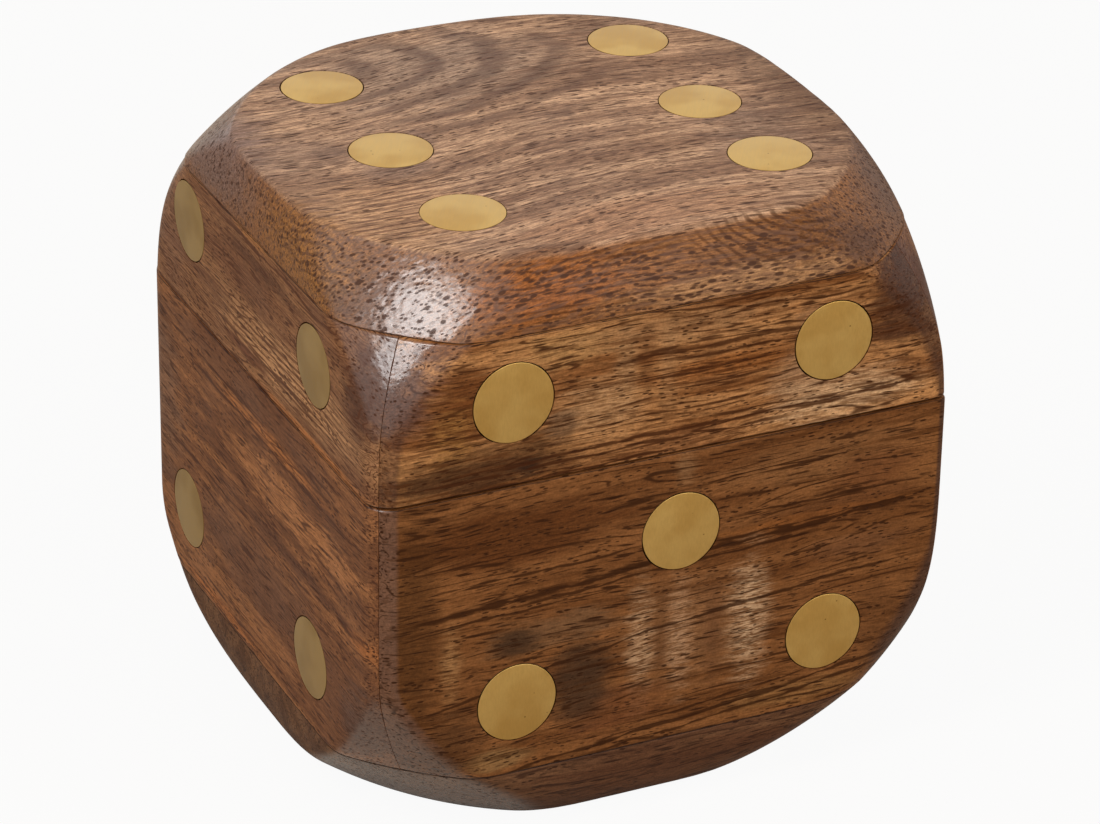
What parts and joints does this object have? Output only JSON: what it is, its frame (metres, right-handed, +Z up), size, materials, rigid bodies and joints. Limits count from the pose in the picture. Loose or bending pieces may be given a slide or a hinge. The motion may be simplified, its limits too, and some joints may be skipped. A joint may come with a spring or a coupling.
{
  "type": "hinged dice box",
  "caption": "Hollow wooden box in the shape of a die, with flush brass pips and a lid hinged along the back.",
  "frame": {"origin": "centre of the underside of the closed box, on the surface that it stands on", "axes": "+Z up, front with five pips towards -Y, hinges towards +Y, +X to the right seen from the front"},
  "size_m": [0.097, 0.0984, 0.0973],
  "materials": {
    "base_board_wood": "dark hardwood, clear lacquer",
    "base_frame_wood": "brown streaked hardwood, clear lacquer",
    "lid_board_wood": "light brown open-pored hardwood, clear lacquer",
    "lid_frame_wood": "brown streaked hardwood, clear lacquer",
    "pip_brass": "sanded flush, satin, slightly tarnished",
    "hinge_brass": "satin",
    "screw_brass": "satin"
  },
  "bodies": {
    "base": {"base_board": "base_board_wood", "base_frame_front": "base_frame_wood", "base_frame_right": "base_frame_wood", "base_frame_back": "base_frame_wood", "base_frame_left": "base_frame_wood", "pip_front_centre": "pip_brass", "pip_front_low_left": "pip_brass", "pip_front_low_right": "pip_brass", "pip_left_low_front": "pip_brass", "pip_left_low_back": "pip_brass", "pip_right_centre": "pip_brass", "pip_right_low_front": "pip_brass", "pip_back_low_right": "pip_brass", "pip_underside": "pip_brass", "hinge_base_leaf_left": "hinge_brass", "hinge_base_leaf_right": "hinge_brass", "hinge_pin_left": "hinge_brass", "hinge_pin_right": "hinge_brass", "hinge_base_screws": "screw_brass"},
    "lid": {"lid_board": "lid_board_wood", "lid_frame_front": "lid_frame_wood", "lid_frame_right": "lid_frame_wood", "lid_frame_back": "lid_frame_wood", "lid_frame_left": "lid_frame_wood", "pip_top_front_left": "pip_brass", "pip_top_mid_left": "pip_brass", "pip_top_back_left": "pip_brass", "pip_top_front_right": "pip_brass", "pip_top_mid_right": "pip_brass", "pip_top_back_right": "pip_brass", "pip_front_high_left": "pip_brass", "pip_front_high_right": "pip_brass", "pip_left_high_front": "pip_brass", "pip_left_high_back": "pip_brass", "pip_right_high_back": "pip_brass", "pip_back_high_left": "pip_brass", "hinge_lid_leaf_left": "hinge_brass", "hinge_lid_leaf_right": "hinge_brass", "hinge_lid_screws": "screw_brass"}
  },
  "joints": [
    {"name": "lid_hinge", "type": "hinge", "parent": "base", "child": "lid", "pos_m": [0, 0.0477, 0.06265], "axis": [-1, 0, 0], "range_deg": [0, 100]}
  ]
}
